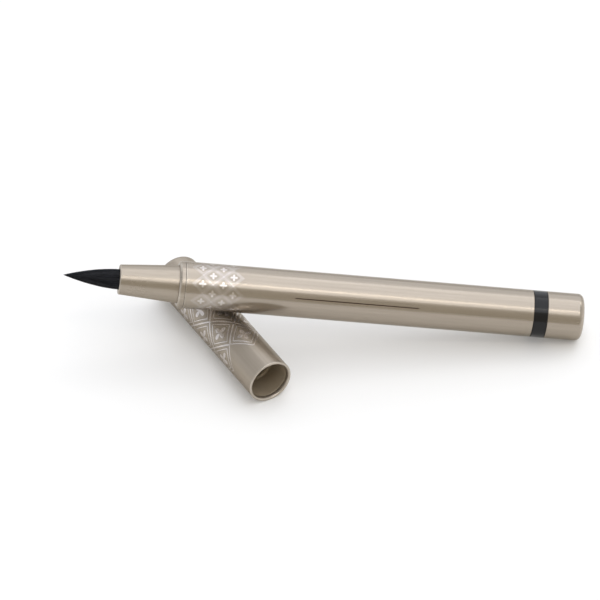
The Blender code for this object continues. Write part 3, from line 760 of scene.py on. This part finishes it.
plain = {
    "black_plastic": make_plain(
        "gloss_black", (0.005, 0.0048, 0.0048), 1.3, (0.14, 0.2), 9, 0.0006,
        Specular_IOR_Level=0.3),
    "liner_plastic": make_plain(
        "bronze_plastic", (0.4, 0.33, 0.24), 0.88, (0.32, 0.42), 12, 0.002, Metallic=0.15),
    "grey_plastic": make_plain(
        "grey_plastic", (0.4, 0.41, 0.43), 0.93, (0.38, 0.5), 14, 0.003),
    "white_plastic": make_plain(
        "milky_plastic", (0.8, 0.8, 0.77), 0.96, (0.34, 0.45), 12, 0.002,
        Subsurface_Weight=0.25, Subsurface_Radius=(0.0012, 0.0012, 0.001), Subsurface_Scale=1.0),
    "seal_rubber": make_plain(
        "seal_rubber", (0.03, 0.03, 0.03), 1.25, (0.6, 0.75), 20, 0.004),
    "feed_fibre": make_plain(
        "inked_fibre", (0.05, 0.05, 0.06), 1.6, (0.7, 0.85), 30, 0.012),
    "ball_steel": make_plain(
        "polished_steel", (0.7, 0.7, 0.72), 0.97, (0.08, 0.13), 10, 0.0004, Metallic=1.0),
    "spring_steel": make_plain(
        "drawn_wire", (0.6, 0.6, 0.62), 0.9, (0.2, 0.3), 20, 0.001, Metallic=1.0),
}
print("plain materials:", sorted(plain))

# %% [markdown]
# ## Turning a profile
#
# The tubes and rings are turned pieces: a profile of heights and radii swept once round
# the axis. A Screw modifier could do it, but a short loop keeps full control of where
# each ring of points lies. Real edges are never sharp, so each corner of the profile
# carries its own rounding. A ring of points close to each corner keeps the smooth shading
# of a long straight wall from bending towards its rounded end.

# %% Rounded profile
TURN_STEPS = 160
ARC_PARTS = 7
GUARD = 0.06 * MM
LONG_WALL = 5 * GUARD
ON_AXIS = 1e-7
CRISP_PROFILE_ANGLE = math.radians(40)


def corner_points(before, point, after, size):
    """The points that round a corner: size is one length, or one for each side of it."""
    first, second = size if isinstance(size, tuple) else (size, size)
    to_before = (before - point).normalized() * first
    to_after = (after - point).normalized() * second
    points = []
    for i in range(ARC_PARTS + 1):
        turn = math.pi / 2 * i / ARC_PARTS
        points.append(
            point + to_before * (1 - math.sin(turn)) + to_after * (1 - math.cos(turn)))
    return points


def rounded(profile, closed):
    """A profile of (height, radius, rounding) in mm as plain points in metres."""
    spots = [Vector(spot[:2]) * MM for spot in profile]
    count = len(spots)
    points = []
    for i, spot in enumerate(spots):
        size = profile[i][2] if len(profile[i]) > 2 else 0
        if not size:
            points.append(spot)
            continue
        size = tuple(s * MM for s in size) if isinstance(size, tuple) else size * MM
        points += corner_points(spots[i - 1], spot, spots[(i + 1) % count], size)
    guarded = []
    last = len(points) if closed else len(points) - 1
    for i in range(len(points)):
        start, end = points[i], points[(i + 1) % len(points)]
        guarded.append(start)
        if i < last and (end - start).length > LONG_WALL:
            step = (end - start).normalized() * GUARD
            guarded += [start + step, end - step]
    return guarded


# %% Turn it round the axis


def turn_profile(name, profile, axis):
    """A closed solid of revolution. A profile that starts on the axis has a pole at each end."""
    closed = profile[0][1] > 0
    points = rounded(profile, closed)
    shape = bmesh.new()
    rings = []
    for height, radius in points:
        if radius < ON_AXIS:
            rings.append([shape.verts.new(axis @ Vector((0, 0, height)))] * TURN_STEPS)
            continue
        ring = []
        for i in range(TURN_STEPS):
            angle = math.tau * i / TURN_STEPS
            place = (radius * math.cos(angle), radius * math.sin(angle), height)
            ring.append(shape.verts.new(axis @ Vector(place)))
        rings.append(ring)
    uppers = rings[1:] + rings[:1] if closed else rings[1:]
    for lower, upper in zip(rings, uppers):
        for i in range(TURN_STEPS):
            j = (i + 1) % TURN_STEPS
            corners = (lower[i], lower[j], upper[j], upper[i])
            shape.faces.new(list(dict.fromkeys(corners)))
    bmesh.ops.recalc_face_normals(shape, faces=shape.faces)
    for face in shape.faces:
        face.smooth = True
    mesh = bpy.data.meshes.new(name)
    shape.to_mesh(mesh)
    shape.free()
    return put_in_scene(name, mesh)


def sharpen(piece):
    """Keep the shading crisp where the profile has a real step."""
    shape = bmesh.new()
    shape.from_mesh(piece.data)
    for edge in shape.edges:
        if len(edge.link_faces) == 2 and edge.calc_face_angle() > CRISP_PROFILE_ANGLE:
            edge.smooth = False
    shape.to_mesh(piece.data)
    shape.free()


def fit(piece, node, body, material):
    """Give a finished piece its material and its body, and hide the imported node it stands for."""
    piece.data.materials.clear()
    piece.data.materials.append(material)
    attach(piece, body)
    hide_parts(node)
    print(piece.name, "faces:", len(piece.data.polygons))


# %% [markdown]
# ## Barrel, ring, tail and shoulder
#
# The barrel is a drawn tube with broken edges. The black ring sits flush between it and
# the tail cap, whose plug reaches inside. The shoulder ring is a low rounded collar that
# hides the joint between barrel and nozzle.

# %% The pen's turned pieces


def in_mm(node, axis):
    return [size / MM for size in measure(node, axis)]


BARREL_EDGE = 0.05
RING_EDGE = 0.06
RING_BORE_EDGE = 0.04
TAIL_GAP = 0.1
SPIGOT_PLAY = 0.1
SPIGOT_EDGE = 0.12
TAIL_ROUND = 1.2
TAIL_WALL = 1.0
SHOULDER_ROUND = (0.8, 0.4)
SHOULDER_SEAM = 0.05
RING_SEAM = 0.02
NOZZLE_BASE = 4.25

start, end, bore, radius = in_mm("barrel", pen_axis)
barrel = turn_profile("barrel_tube", [
    (start, bore, BARREL_EDGE), (start, radius, BARREL_EDGE),
    (end, radius, BARREL_EDGE), (end, bore, BARREL_EDGE),
], pen_axis)
fit(barrel, "barrel", "pen", champagne_barrel)

start, end, bore, radius = in_mm("shade_ring", pen_axis)
ring = turn_profile("black_band", [
    (start, bore, RING_BORE_EDGE), (start, radius, RING_EDGE),
    (end, radius, RING_EDGE), (end, bore, RING_BORE_EDGE),
], pen_axis)
fit(ring, "shade_ring", "pen", plain["black_plastic"])

tail_edge = start - TAIL_GAP
spigot = bore - SPIGOT_PLAY
start, end, bore, radius = in_mm("tail_cap", pen_axis)
tail = turn_profile("tail_end", [
    (start, 0), (start, radius, TAIL_ROUND), (tail_edge, radius, RING_EDGE),
    (tail_edge, spigot), (end, spigot, SPIGOT_EDGE), (end, bore),
    (start + TAIL_WALL, bore), (start + TAIL_WALL, 0),
], pen_axis)
sharpen(tail)
fit(tail, "tail_cap", "pen", champagne_tail)

start, end, _, radius = in_mm("shoulder_ring", pen_axis)
bore = NOZZLE_BASE + RING_SEAM
start -= SHOULDER_SEAM
shoulder = turn_profile("shoulder_collar", [
    (start, bore), (start, radius, SHOULDER_SEAM), (end, radius, SHOULDER_ROUND), (end, bore),
], pen_axis)
sharpen(shoulder)
fit(shoulder, "shoulder_ring", "pen", champagne_ring)

# %% [markdown]
# ## Nozzle
#
# The nozzle narrows a little towards the brush, so the fingers feel where the tip is. Its
# skirt is hidden in the barrel and has a groove for the seal. Inside, a pocket holds the
# brush's collar behind a thin lip.

# %% Nozzle
NOZZLE_TIP = 3.33
NOZZLE_BORE = 3.1
NOZZLE_TIP_ROUND = 0.25
MOUTH_EDGE = 0.08
SKIRT_EDGE = 0.12
SKIRT_LENGTH = 5.0
GROOVE_START = 2.3
GROOVE_WIDTH = 0.9
GROOVE_DEPTH = 0.65
GROOVE_ROUND = 0.1
POCKET_DEPTH = 7.1
POCKET_RADIUS = 2.9
LIP_DEPTH = 3.1

start, end, mouth, skirt = in_mm("nozzle", pen_axis)
groove = start + GROOVE_START
groove_radius = skirt - GROOVE_DEPTH
nozzle = turn_profile("nozzle_cone", [
    (start, NOZZLE_BORE), (start, skirt, SKIRT_EDGE), (groove, skirt),
    (groove, groove_radius, GROOVE_ROUND),
    (groove + GROOVE_WIDTH, groove_radius, GROOVE_ROUND),
    (groove + GROOVE_WIDTH, skirt), (start + SKIRT_LENGTH, skirt),
    (start + SKIRT_LENGTH, NOZZLE_BASE), (shoulder_end / MM, NOZZLE_BASE),
    (end, NOZZLE_TIP, NOZZLE_TIP_ROUND), (end, mouth, MOUTH_EDGE),
    (end - LIP_DEPTH, mouth), (end - LIP_DEPTH, POCKET_RADIUS),
    (end - POCKET_DEPTH, POCKET_RADIUS), (end - POCKET_DEPTH, NOZZLE_BORE),
], pen_axis)
sharpen(nozzle)
fit(nozzle, "nozzle", "pen", champagne_nozzle)

# %% [markdown]
# ## Cap
#
# The cap is a thin drawn shell with a rounded closed end. Its mouth is rolled inwards, so
# that the rim looks thick and soft. A moulded liner stands a little behind the rim and
# carries the bead that keeps the sprung inner cap in.

# %% Cap shell and liner
CAP_ROUND = 1.3
CAP_END_WALL = 0.5
CAP_WALL = 0.3
RIM_ROUND = 0.3
RIM_FLARE = 0.9
RIM_DEPTH = 1.0
LINER_ROUND = 0.9
LINER_WALL = 0.35
LINER_EDGE = 0.05
LINER_MOUTH_ROUND = 0.1
LINER_END_WALL = 1.0
BEAD_HEIGHT = 0.4
BEAD_ROUND = 0.25
BEAD_EDGE = 0.1
LIP_GAP = 0.05
BEAD_START = 5.75
BEAD_END = 7.15

start, end, _, radius = in_mm("cap_shell", cap_axis)
inside = radius - CAP_WALL
rim_bore = in_mm("cap_liner", cap_axis)[3] - LINER_WALL
shell = turn_profile("cap_tube", [
    (start, 0), (start, radius, CAP_ROUND), (end, radius, RIM_ROUND),
    (end, rim_bore, (radius - RIM_ROUND - rim_bore, RIM_FLARE)),
    (end - RIM_DEPTH, rim_bore), (end - RIM_DEPTH, inside),
    (start + CAP_END_WALL, inside, CAP_ROUND - CAP_WALL), (start + CAP_END_WALL, 0),
], cap_axis)
sharpen(shell)
fit(shell, "cap_shell", "cap", champagne_cap)

lip_end = end - RIM_DEPTH
start, end, _, radius = in_mm("cap_liner", cap_axis)
end = lip_end - LIP_GAP
bead = rim_bore - BEAD_HEIGHT
liner = turn_profile("cap_lining", [
    (start, 0), (start, radius, LINER_ROUND), (end, radius, LINER_EDGE),
    (end, rim_bore, LINER_MOUTH_ROUND),
    (end - BEAD_START, rim_bore, BEAD_ROUND),
    (end - BEAD_START - BEAD_HEIGHT, bead, BEAD_ROUND),
    (end - BEAD_END, bead, BEAD_EDGE), (end - BEAD_END, rim_bore),
    (start + LINER_END_WALL, rim_bore), (start + LINER_END_WALL, 0),
], cap_axis)
sharpen(liner)
fit(liner, "cap_liner", "cap", plain["liner_plastic"])

# %% [markdown]
# ## Helpers for Geometry Nodes
#
# The brush and the spring follow rules, so node trees grow them. A tree is put on a
# carrier object as a modifier, its inputs are set by their identifiers, and the result is
# kept as a plain mesh at the origin. The carrier then goes.

# %% Grow a tree into a plain mesh
INT = "NodeSocketInt"
GEOMETRY = "NodeSocketGeometry"
MATERIAL = "NodeSocketMaterial"


def put_tree_on(piece, group, values):
    """A tree as a modifier; its inputs, given by name here, are set by identifier."""
    modifier = piece.modifiers.new(group.name, "NODES")
    modifier.node_group = group
    for item in group.interface.items_tree:
        if item.in_out == "INPUT" and item.name in values:
            modifier[item.identifier] = values[item.name]


def grow(name, group, values, axis):
    """Evaluate a tree with the given inputs and keep the mesh, placed on an axis."""
    carrier = put_in_scene(name + "_carrier", bpy.data.meshes.new(name + "_carrier"))
    put_tree_on(carrier, group, values)
    depsgraph = bpy.context.evaluated_depsgraph_get()
    mesh = bpy.data.meshes.new_from_object(carrier.evaluated_get(depsgraph))
    bpy.data.objects.remove(carrier)
    mesh.name = name
    mesh.transform(axis)
    return put_in_scene(name, mesh)


def sweep(group, curves, sides, radius, material, result, **more):
    """A round section along the curves. The end is Realize Instances and Set Material."""
    section = add(group, "GeometryNodeCurvePrimitiveCircle", {
        "Resolution": sides, "Radius": radius,
    }).outputs[0]
    mesh = add(group, "GeometryNodeCurveToMesh", {
        "Curve": curves, "Profile Curve": section, "Fill Caps": True, **more,
    }).outputs[0]
    mesh = add(group, "GeometryNodeSetShadeSmooth", {"Geometry": mesh}).outputs[0]
    real = add(group, "GeometryNodeRealizeInstances", {"Geometry": mesh}).outputs[0]
    colored = add(group, "GeometryNodeSetMaterial", {"Geometry": real, "Material": material})
    group.links.new(colored.outputs[0], result)


# %% [markdown]
# ## Brush
#
# The tip is a bundle of fine tapered hairs that stands in a collar and draws together to
# a needle point when it is wet. One long hair is a thin three-sided tube. Each hair gets
# a place on a sunflower disc, which spreads any number of hairs evenly. Outer hairs end
# early and inner ones go on, and each ends exactly on the bundle's outline, so the
# outline stays smooth. The hairs follow the outline inwards as they rise.

# %% Tree: a pointed bundle of hairs
GOLDEN_ANGLE = math.pi * (3 - math.sqrt(5))
HAIR_POINTS = 10
HAIR_SIDES = 3
TAPER_LOSS = 0.7
TAPER_POWER = 2.5


def make_hair_tree():
    group, given, result = new_group(
        "pointed_hairs",
        [
            ("Hairs", INT), ("Length", FLOAT), ("Root", FLOAT), ("Radius", FLOAT),
            ("Swell", FLOAT), ("Thinning", FLOAT), ("Hair radius", FLOAT),
            ("Stray", FLOAT), ("Seed", INT), ("Material", MATERIAL),
        ],
        [("Geometry", GEOMETRY)],
        "GeometryNodeTree",
    )

    def do(operation, *values):
        return sum_of(group, operation, *values)

    index = add(group, "GeometryNodeInputIndex").outputs[0]
    share = do("DIVIDE", do("ADD", index, 0.5), given["Hairs"])
    points = add(group, "GeometryNodePoints", {"Count": given["Hairs"]}).outputs[0]
    random = add(group, "FunctionNodeRandomValue", {
        "Min": -1.0, "Max": 1.0, "Seed": given["Seed"],
    })
    marks = {
        "ring": do("SQRT", share),
        "turn": do("MULTIPLY", index, GOLDEN_ANGLE),
        "stray": open_socket(random.outputs, "Value"),
    }
    for name, value in marks.items():
        points = add(group, "GeometryNodeStoreNamedAttribute", {
            "Geometry": points, "Name": name, "Value": value,
        }).outputs[0]
    line = add(group, "GeometryNodeCurvePrimitiveLine").outputs[0]
    line = add(group, "GeometryNodeResampleCurve", {"Curve": line, "Count": HAIR_POINTS}).outputs[0]
    hairs = add(group, "GeometryNodeInstanceOnPoints", {"Points": points, "Instance": line})
    hairs = add(group, "GeometryNodeRealizeInstances", {"Geometry": hairs.outputs[0]}).outputs[0]

    def mark(name):
        node = add(group, "GeometryNodeInputNamedAttribute", {"Name": name})
        return open_socket(node.outputs, "Attribute")

    ring, turn, stray = mark("ring"), mark("turn"), mark("stray")
    along = add(group, "GeometryNodeSplineParameter").outputs["Factor"]
    swell, thinning, length = given["Swell"], given["Thinning"], given["Length"]
    full_end = do("POWER", do("SUBTRACT", 1.0, do("POWER", ring, do("DIVIDE", 1.0, thinning))),
                  do("DIVIDE", 1.0, swell))
    hair_end = do("MULTIPLY", full_end, length)
    reach = do("ADD", hair_end, given["Root"])
    height = do("SUBTRACT", do("MULTIPLY", along, reach), given["Root"])
    station = do("DIVIDE", do("MAXIMUM", height, 0.0), length)
    closing = do("POWER", do("SUBTRACT", 1.0, do("POWER", station, swell)),
                 do("SUBTRACT", 1.0, thinning))
    radius = do("MULTIPLY", do("MULTIPLY", ring, given["Radius"]), closing)
    radius = do("ADD", radius, do("MULTIPLY", do("MULTIPLY", stray, given["Stray"]), along))
    radius = do("MAXIMUM", radius, 0.0)
    place = add(group, "ShaderNodeCombineXYZ", {
        "X": do("MULTIPLY", radius, do("COSINE", turn)),
        "Y": do("MULTIPLY", radius, do("SINE", turn)),
        "Z": height,
    }).outputs[0]
    hairs = add(group, "GeometryNodeSetPosition", {"Geometry": hairs, "Position": place}).outputs[0]
    thinner = do("MULTIPLY", TAPER_LOSS, do("POWER", along, TAPER_POWER))
    sweep(
        group, hairs, HAIR_SIDES, given["Hair radius"], given["Material"], result["Geometry"],
        Scale=do("SUBTRACT", 1.0, thinner))
    return group


# %% Hair material
HAIR_DARK = (0.007, 0.007, 0.009, 1)
HAIR_LIGHT = (0.02, 0.021, 0.026, 1)
HAIR_ROUGHNESS = (0.34, 0.46)
HAIR_GLEAM = {
    "Specular_IOR_Level": 0.35, "Sheen_Weight": 0.06, "Sheen_Roughness": 0.4,
    "Sheen_Tint": (0.6, 0.7, 1.0, 1),
}
HAIR_STREAKS = {"Lines per mm": 9.0, "Line length mm": 6.0}
HAIR_WEAR = {"Grains per mm": 30.0, "Cloud size mm": 2.0}
HAIR_GRAIN_HEIGHT = 0.002 * MM


def make_hair_material():
    """Ink-black hair: a long soft gleam, a little bluish, broken up from hair to hair."""
    material, tree, inputs = new_material("ink_black_hair", **HAIR_GLEAM)
    place = on_axis(tree, pen_axis)
    strand = use_group(tree, satin_streaks, {"Place": place, **HAIR_STREAKS})["Streak"]
    wear = use_group(tree, surface_wear, {"Place": place, **HAIR_WEAR})
    tree.links.new(mix_color(tree, strand, HAIR_DARK, HAIR_LIGHT), inputs["Base Color"])
    tree.links.new(mix_value(tree, wear["Cloud"], *HAIR_ROUGHNESS), inputs["Roughness"])
    bump(tree, inputs, wear["Grain"], HAIR_GRAIN_HEIGHT)
    return material


hair_material = make_hair_material()

# %% Grow the brush
BRUSH_LENGTH = 12.48 * MM
BRUSH_ROOT = 3.0 * MM
BRUSH_RADIUS = 2.3 * MM
BRUSH_SWELL = 1.8
BRUSH_THINNING = 0.65
HAIR_COUNT = 2400
HAIR_RADIUS = 0.038 * MM
HAIR_INSET = 0.04 * MM
HAIR_STRAY = 0.012 * MM
HAIR_SEED = 11

brush_axis = pen_axis @ Matrix.Translation((0, 0, nozzle_end))
brush = grow("brush_hairs", make_hair_tree(), {
    "Hairs": HAIR_COUNT, "Length": BRUSH_LENGTH, "Root": BRUSH_ROOT,
    "Radius": BRUSH_RADIUS - HAIR_INSET, "Swell": BRUSH_SWELL, "Thinning": BRUSH_THINNING,
    "Hair radius": HAIR_RADIUS, "Stray": HAIR_STRAY, "Seed": HAIR_SEED,
    "Material": hair_material,
}, brush_axis)
fit(brush, "brush_tuft", "pen", hair_material)

# %% [markdown]
# ## Spring
#
# The spring behind the inner cap is one drawn wire. The coil is a spiral curve with a
# round section swept along it. On the pen it shortens when the inner cap is pressed, and the
# end that stands on the closed end of the cap stays where it is; here the coil keeps one length.

# %% Tree: a wound wire


def make_coil_tree():
    group, given, result = new_group(
        "wound_wire",
        [
            ("Turns", FLOAT), ("Coil radius", FLOAT), ("Height", FLOAT),
            ("Wire radius", FLOAT), ("Points per turn", FLOAT), ("Sides", INT),
            ("Material", MATERIAL),
        ],
        [("Geometry", GEOMETRY)],
        "GeometryNodeTree",
    )
    wire = given["Wire radius"]
    room = sum_of(group, "SUBTRACT", given["Height"], sum_of(group, "MULTIPLY", wire, 2.0))
    spiral = add(group, "GeometryNodeCurveSpiral", {
        "Resolution": given["Points per turn"], "Rotations": given["Turns"],
        "Start Radius": given["Coil radius"], "End Radius": given["Coil radius"],
        "Height": room,
    }).outputs[0]
    lift = add(group, "ShaderNodeCombineXYZ", {"Z": wire}).outputs[0]
    spiral = add(group, "GeometryNodeSetPosition", {"Geometry": spiral, "Offset": lift}).outputs[0]
    sweep(group, spiral, given["Sides"], wire, given["Material"], result["Geometry"])
    return group


# %% Wind the spring
SPRING_TURNS = 7.0
POINTS_PER_TURN = 40.0
WIRE_RADIUS = 0.25 * MM
WIRE_SIDES = 12

low, high, _, outer = measure("cap_spring", cap_axis)
spring_axis = cap_axis @ Matrix.Translation((0, 0, low))
spring = grow("return_spring", make_coil_tree(), {
    "Turns": SPRING_TURNS, "Coil radius": outer - WIRE_RADIUS, "Height": high - low,
    "Wire radius": WIRE_RADIUS, "Points per turn": POINTS_PER_TURN, "Sides": WIRE_SIDES,
    "Material": plain["spring_steel"],
}, spring_axis)
fit(spring, "cap_spring", "cap", plain["spring_steel"])
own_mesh(spring)

# %% [markdown]
# ## The pieces that stay as packed
#
# The inner cap, the tank, the collector and the other hidden pieces already have the
# right shapes. Each gets its material, and one small tree that welds its facets for
# smooth shading and keeps the real edges crisp.

# %% Tree: smooth facets


def make_smoothing_tree():
    group, given, result = new_group(
        "smooth_facets",
        [("Geometry", GEOMETRY), ("Weld distance", FLOAT), ("Crisp angle", FLOAT)],
        [("Geometry", GEOMETRY)],
        "GeometryNodeTree",
    )
    mesh = add(group, "GeometryNodeMergeByDistance", {
        "Geometry": given["Geometry"], "Distance": given["Weld distance"],
    }).outputs[0]
    mesh = add(group, "GeometryNodeSetShadeSmooth", {"Geometry": mesh}).outputs[0]
    angle = add(group, "GeometryNodeInputMeshEdgeAngle").outputs["Unsigned Angle"]
    crisp = add(group, "FunctionNodeCompare", {"A": angle, "B": given["Crisp angle"]})
    mesh = add(group, "GeometryNodeSetShadeSmooth", {
        "Geometry": mesh, "Selection": crisp.outputs["Result"], "Shade Smooth": False,
    }, domain="EDGE").outputs[0]
    group.links.new(mesh, result["Geometry"])
    return group


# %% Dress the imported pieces
WELD_DISTANCE = 0.001 * MM
CRISP_FACET_ANGLE = math.radians(35)

smoothing_tree = make_smoothing_tree()
slots = {row["node"]: row["material_slot"] for row in frame["record"]["subparts"]}
dressed = ("barrel", "shade_ring", "tail_cap", "shoulder_ring", "nozzle", "cap_shell",
           "cap_liner", "brush_tuft", "cap_spring")
for node, piece in frame["nodes"].items():
    if node in dressed:
        continue
    for slot in piece.material_slots:
        slot.material = plain[slots[node]]
    put_tree_on(piece, smoothing_tree, {
        "Weld distance": WELD_DISTANCE, "Crisp angle": CRISP_FACET_ANGLE,
    })
    print(node, "wears", plain[slots[node]].name)
